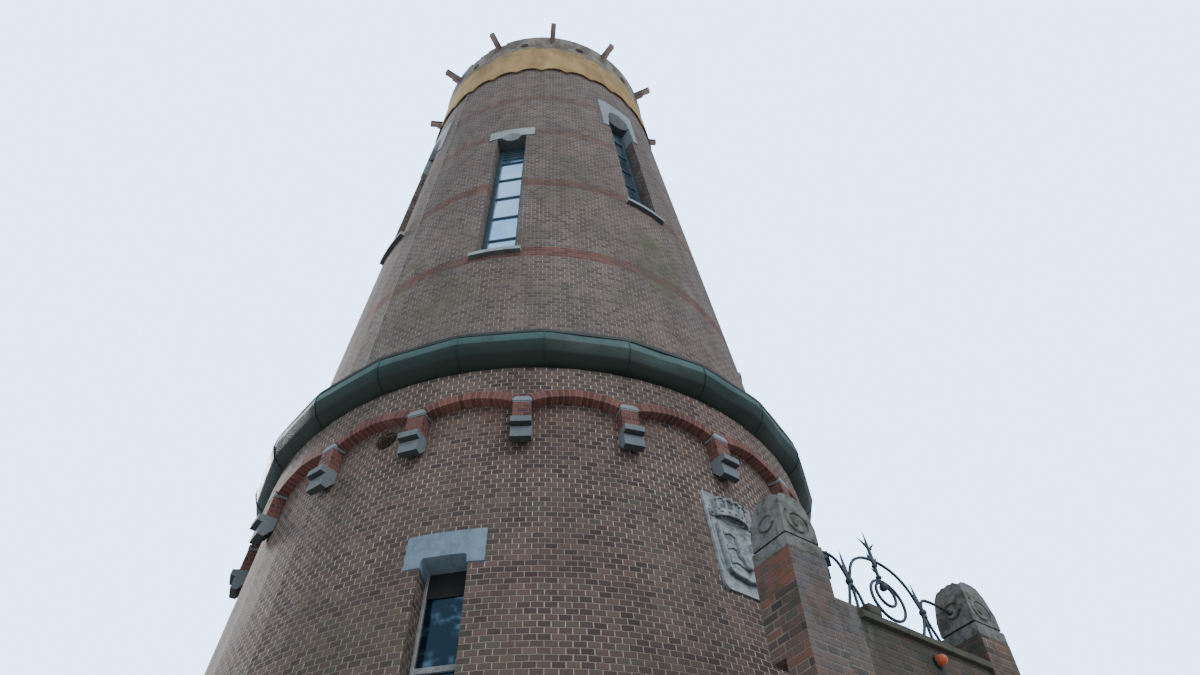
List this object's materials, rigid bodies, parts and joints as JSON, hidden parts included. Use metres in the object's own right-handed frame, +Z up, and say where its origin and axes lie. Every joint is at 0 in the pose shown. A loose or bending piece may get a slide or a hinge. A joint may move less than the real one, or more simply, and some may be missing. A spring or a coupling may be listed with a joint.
{
  "type": "water tower",
  "caption": "Round battered brick water tower without its tank: drum and shaft, arched cornice with a metal ledge, tall steel windows, beam stubs and a walled entrance porch.",
  "frame": {"origin": "on the ground at the tower's axis, in the underside of the ground floor", "axes": "+Z up along the tower; the porch stands between -Y and +X"},
  "size_m": [8.44, 9.1025, 19.59],
  "materials": {
    "brick": "rough",
    "window": "satin",
    "ledge_metal": "satin",
    "plaster": "rough",
    "weathered": "rough",
    "rusty_steel": "rough",
    "concrete": "rough",
    "zinc": "dull",
    "stone": "matt",
    "pier_brick": "rough",
    "door_paint": "satin",
    "cap_stone": "rough",
    "iron": "satin",
    "lamp_plastic": "gloss"
  },
  "bodies": {
    "root": {"drum_wall_1": "brick", "drum_wall_2": "brick", "drum_wall_3": "brick", "drum_wall_4": "brick", "shaft_wall_1": "brick", "shaft_wall_2": "brick", "shaft_wall_3": "brick", "shaft_wall_4": "brick", "arcade_1": "brick", "arcade_2": "brick", "arcade_3": "brick", "arcade_4": "brick", "drum_window_1": "window", "drum_window_2": "window", "drum_window_3": "window", "drum_window_4": "window", "low_window_1": "window", "low_window_2": "window", "low_window_3": "window", "low_window_4": "window", "high_window_1": "window", "high_window_2": "window", "high_window_3": "window", "high_window_4": "window", "ochre_band_1": "plaster", "ochre_band_2": "plaster", "ochre_band_3": "plaster", "ochre_band_4": "plaster", "ledge": "ledge_metal", "top_ring": "weathered", "upper_beams": "rusty_steel", "lower_beams": "rusty_steel", "roof_deck": "concrete", "ground_floor": "concrete", "first_floor": "concrete", "ledge_floor": "concrete", "conductor": "zinc", "relief_slab": "stone", "porch_pier_left": "pier_brick", "porch_pier_right": "pier_brick", "porch_front_wall": "pier_brick", "porch_side_left": "pier_brick", "porch_side_right": "pier_brick", "porch_floor": "concrete", "porch_roof": "zinc", "porch_door": "door_paint", "parapet_coping": "cap_stone", "pier_cap_left": "cap_stone", "pier_cap_right": "cap_stone", "cresting": "iron", "wall_lamp": "lamp_plastic"}
  },
  "joints": []
}
